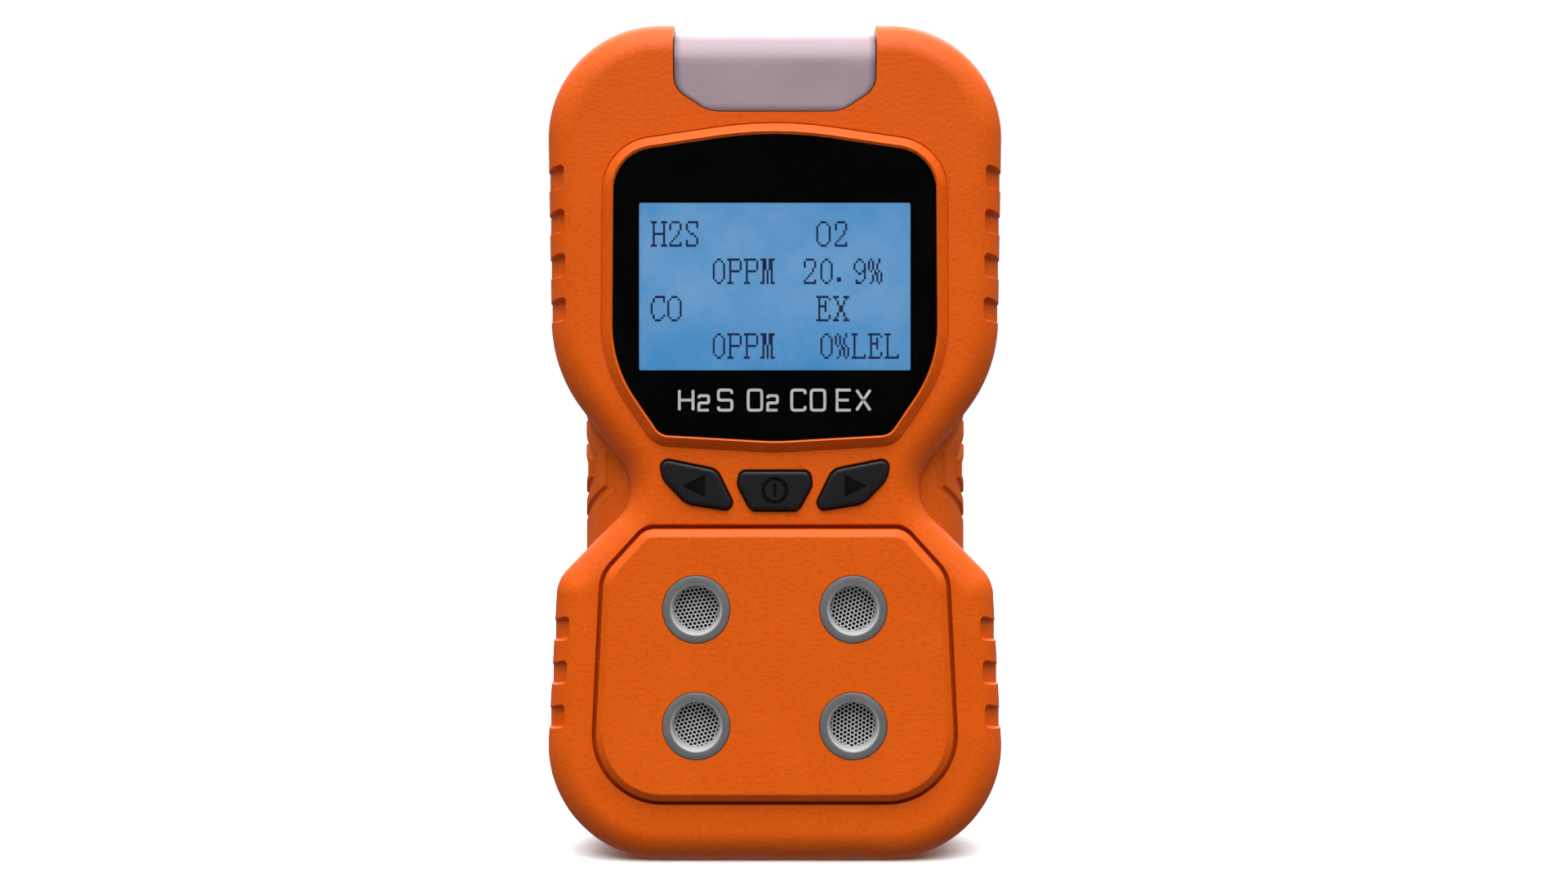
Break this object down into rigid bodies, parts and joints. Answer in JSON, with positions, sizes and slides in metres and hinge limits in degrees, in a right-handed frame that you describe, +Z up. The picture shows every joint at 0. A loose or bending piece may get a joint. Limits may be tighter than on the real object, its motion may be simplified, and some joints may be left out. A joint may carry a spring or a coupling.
{
  "type": "portable gas detector",
  "caption": "Hand-held multi-gas detector with a display, press keys, sensor ports behind a raised panel, an alarm window, side grips and a sprung belt clip.",
  "frame": {"origin": "middle of the bottom face, on the plane where the front and rear covers meet", "axes": "+X to the detector's right as its display is read, +Y to the rear (the belt clip), +Z up to the alarm window"},
  "size_m": [0.0708, 0.0424, 0.13],
  "materials": {
    "cover_orange": "fine pebbled moulding",
    "panel_orange": "fine pebbled moulding",
    "grip_orange": "soft matt",
    "seal_black": "matt",
    "screw_steel": "plated",
    "window_clear": "clear, glossy",
    "mask_black": "printed black",
    "lcd_blue": "backlit blue",
    "diffuser_white": "translucent white",
    "housing_black": "moulded black",
    "flex_amber": "polyimide film",
    "board_green": "solder resist",
    "switch_steel": "stamped",
    "key_charcoal": "smooth matt",
    "filter_black": "fine membrane",
    "ring_grey": "satin grey",
    "screen_steel": "perforated sheet",
    "sensor_can": "moulded",
    "sensor_can_steel": "drawn can",
    "battery_blue": "shrink wrap",
    "contact_brass": "plated strip",
    "flap_rubber": "matt",
    "alarm_mauve": "frosted, translucent",
    "led_white": "moulded lens",
    "clip_steel": "bright stamped sheet",
    "label_white": "blank printed film"
  },
  "bodies": {
    "housing": {"front_cover": "cover_orange", "rear_cover": "cover_orange", "housing_seal": "seal_black", "housing_screws": "screw_steel", "display_window": "window_clear", "display_mask": "mask_black", "display_gasket": "seal_black", "lcd_panel": "lcd_blue", "lcd_backlight": "diffuser_white", "lcd_holder": "housing_black", "lcd_flex": "flex_amber", "main_board": "board_green", "board_chips": "housing_black", "board_screws": "screw_steel", "tactile_switches": "switch_steel", "keypad_retainer": "housing_black", "sensor_panel": "panel_orange", "panel_screws": "screw_steel", "sensor_gasket": "seal_black", "dust_filters": "filter_black", "sensor_ring_h2s": "ring_grey", "sensor_ring_o2": "ring_grey", "sensor_ring_co": "ring_grey", "sensor_ring_ex": "ring_grey", "sensor_screen_h2s": "screen_steel", "sensor_screen_o2": "screen_steel", "sensor_screen_co": "screen_steel", "sensor_screen_ex": "screen_steel", "sensor_h2s": "sensor_can", "sensor_o2": "sensor_can", "sensor_co": "sensor_can", "sensor_ex": "sensor_can_steel", "sensor_board": "board_green", "link_flex": "flex_amber", "battery_pack": "battery_blue", "battery_contacts": "contact_brass", "charge_board": "board_green", "charging_socket": "switch_steel", "port_cover_pin": "switch_steel", "buzzer": "housing_black", "vibration_motor": "switch_steel", "alarm_window": "alarm_mauve", "alarm_leds": "led_white", "side_grip_left": "grip_orange", "side_grip_right": "grip_orange", "clip_base": "clip_steel", "clip_pin": "clip_steel", "clip_spring": "clip_steel", "clip_screws": "screw_steel", "rating_label": "label_white"},
    "key_left": {"button_left": "key_charcoal", "switch_plunger_left": "diffuser_white"},
    "key_power": {"button_power": "key_charcoal", "switch_plunger_power": "diffuser_white"},
    "key_right": {"button_right": "key_charcoal", "switch_plunger_right": "diffuser_white"},
    "jaw": {"clip_jaw": "clip_steel"},
    "flap": {"port_cover": "flap_rubber"},
    "rotor": {"motor_shaft": "switch_steel", "eccentric_weight": "contact_brass"}
  },
  "joints": [
    {"name": "key_left_press", "type": "slide", "parent": "housing", "child": "key_left", "axis": [0, 1, 0], "range_m": [0, 0.0005], "stiffness_N_per_m": 1500, "springref_m": -0.0008},
    {"name": "key_power_press", "type": "slide", "parent": "housing", "child": "key_power", "axis": [0, 1, 0], "range_m": [0, 0.0005], "stiffness_N_per_m": 1500, "springref_m": -0.0008},
    {"name": "key_right_press", "type": "slide", "parent": "housing", "child": "key_right", "axis": [0, 1, 0], "range_m": [0, 0.0005], "stiffness_N_per_m": 1500, "springref_m": -0.0008},
    {"name": "clip_open", "type": "hinge", "parent": "housing", "child": "jaw", "pos_m": [0, 0.019, 0.084], "axis": [1, 0, 0], "range_deg": [0, 16], "stiffness_Nm_per_rad": 1.2, "springref_deg": -11.46, "deforming": ["clip_spring"]},
    {"name": "port_cover_hinge", "type": "hinge", "parent": "housing", "child": "flap", "pos_m": [0, 0.01305, 0.0173], "axis": [1, 0, 0], "range_deg": [0, 100]},
    {"name": "motor_spin", "type": "hinge", "parent": "housing", "child": "rotor", "pos_m": [0, 0.004, 0.086], "axis": [1, 0, 0], "continuous": true}
  ]
}
